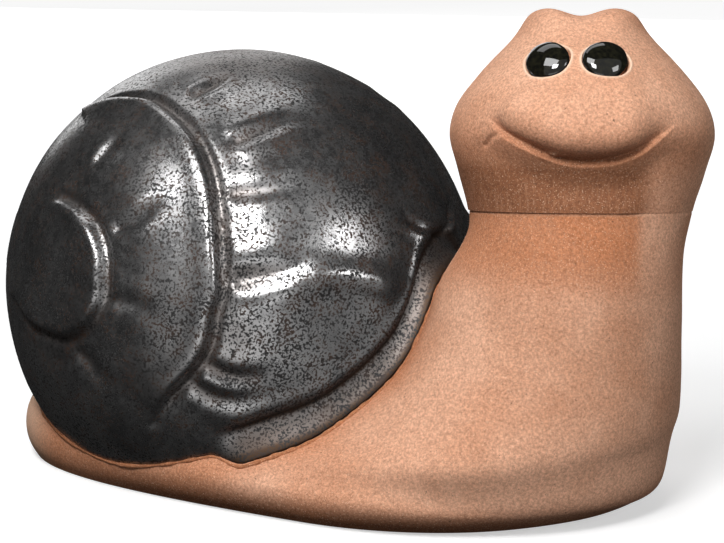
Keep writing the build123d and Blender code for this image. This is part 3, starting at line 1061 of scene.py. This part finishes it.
def eye_material(name):
    """Black glaze with an olive cast."""
    material, nodes, links, shader = new_material(name)
    coords = add_node(nodes, "ShaderNodeTexCoord").outputs["Object"]
    tone = noise(nodes, links, coords, 700, 3, 0.6)
    tone = ramp(nodes, links, tone, (0.40, (0.004, 0.004, 0.003)), (0.75, (0.016, 0.015, 0.008)))
    links.new(tone, shader.inputs["Base Color"])
    shader.inputs["Roughness"].default_value = 0.06
    shader.inputs["Coat Weight"].default_value = 0.6
    shader.inputs["Coat Roughness"].default_value = 0.03
    return material


clay = clay_material("clay", (0.75, 0.425, 0.282), (0.62, 0.315, 0.19))
slip = clay_material("slip", (0.50, 0.22, 0.11), (0.33, 0.13, 0.06))
glaze = glaze_material("glaze")
eye_glaze = eye_material("eye_glaze")
for obj, material in ((head, clay), (body, clay), (shell, glaze), (bead, slip), (neck_slip, clay)):
    obj.data.materials.append(material)
for eye in eyes:
    eye.data.materials.append(eye_glaze)
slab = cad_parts["base_slab"]
if slab.material_slots:
    slab.material_slots[0].material = clay
else:
    slab.data.materials.append(clay)

for obj in (head, body, shell, bead, neck_slip, *eyes):
    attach(obj, "root")
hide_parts("head")
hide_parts("body")
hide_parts("shell")
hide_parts("shell_lute")
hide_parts("neck_lute")
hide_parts("eye_left")
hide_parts("eye_right")
# The glaze mirrors the studio and not the clay, so that it stays grey as in the photograph
for obj in (head, body):
    obj.visible_glossy = False
for obj in (head, body, bead, neck_slip):
    obj.data.set_sharp_from_angle(angle=math.radians(50))

# Floor, a plain pale sweep that rises all round and doesn't light the snail
floor_sides = 96
floor_profile = [
    (0.0, -0.0004), (0.6, -0.0004), (2.6, 0.0), (3.2, 0.05),
    (3.6, 0.22), (3.9, 0.55), (4.0, 1.0), (4.0, 3.2),
]
floor_turns = np.linspace(0, 2 * math.pi, floor_sides, endpoint=False)
floor_rows = []
for reach, level in floor_profile:
    flat = np.full(floor_sides, level)
    floor_rows.append(np.stack([reach * np.cos(floor_turns), reach * np.sin(floor_turns), flat], axis=1))
floor_faces = grid_faces(len(floor_rows), floor_sides).tolist()
floor = make_object("floor", np.concatenate(floor_rows), floor_faces)
floor_material, nodes, links, shader = new_material("floor")
shader.inputs["Base Color"].default_value = (0.62, 0.62, 0.62, 1)
shader.inputs["Roughness"].default_value = 0.9
shader.inputs["Specular IOR Level"].default_value = 0.1
shader.inputs["Emission Color"].default_value = (1, 1, 1, 1)
# The floor glows more the further it is from the snail, up to white
place = add_node(nodes, "ShaderNodeTexCoord").outputs["Object"]
distance = add_node(nodes, "ShaderNodeVectorMath", operation="LENGTH")
links.new(place, distance.inputs[0])
glow = add_node(nodes, "ShaderNodeMapRange")
glow.inputs["From Min"].default_value = 0.3
glow.inputs["From Max"].default_value = 2.2
glow.inputs["To Min"].default_value = 0.52
glow.inputs["To Max"].default_value = 1.02
links.new(distance.outputs["Value"], glow.inputs["Value"])
links.new(glow.outputs["Result"], shader.inputs["Emission Strength"])
floor.data.materials.append(floor_material)
floor.visible_diffuse = False
floor.visible_glossy = False
floor.visible_shadow = False

world = bpy.data.worlds.new("world")
scene.world = world
world.use_nodes = True
world.node_tree.nodes["Background"].inputs["Color"].default_value = (1, 1, 1, 1)
world.node_tree.nodes["Background"].inputs["Strength"].default_value = 0.022

snail_place = (-0.01, 0.0, 0.10)
head_place = (0.10, -0.01, 0.15)


def softbox(name, right, up, back, width, height, power, target=snail_place):
    """An area light placed in the camera's own directions round the object, in metres."""
    light = bpy.data.lights.new(name, "AREA")
    light.shape = "RECTANGLE"
    light.size = width
    light.size_y = height
    light.energy = power
    obj = bpy.data.objects.new(name, light)
    scene.collection.objects.link(obj)
    aim = Vector(target)
    obj.location = aim + view_right * right + view_up * up + view_back * back
    obj.rotation_euler = (aim - obj.location).to_track_quat("-Z", "Y").to_euler()
    obj.visible_camera = False
    return obj


# Each light's name, how far it is to the right, up and back, its width and height, and its power
softbox("key", -0.24, 0.42, 0.78, 0.26, 0.26, 6.2, head_place)
softbox("upper", -0.42, 0.85, 0.80, 0.7, 0.5, 8)
softbox("side", 0.95, 0.30, 0.72, 0.42, 0.42, 3.3)
softbox("low", -0.1, -0.45, 1.0, 0.9, 0.4, 1.3)
softbox("top", -0.15, 1.10, -0.25, 0.9, 0.4, 1.8)
softbox("behind", -0.30, 0.70, -1.10, 0.8, 0.8, 3)
# A wide dim wall that only the glazes mirror, and a soft light on the clay's back
wall = softbox("wall", 0.25, 0.0, 1.0, 3.6, 2.6, 9)
wall.visible_diffuse = False
back_light = softbox("back_light", 0.2, 0.5, -1.3, 1.2, 1.2, 5)
back_light.visible_glossy = False
scene.view_settings.view_transform = "Standard"
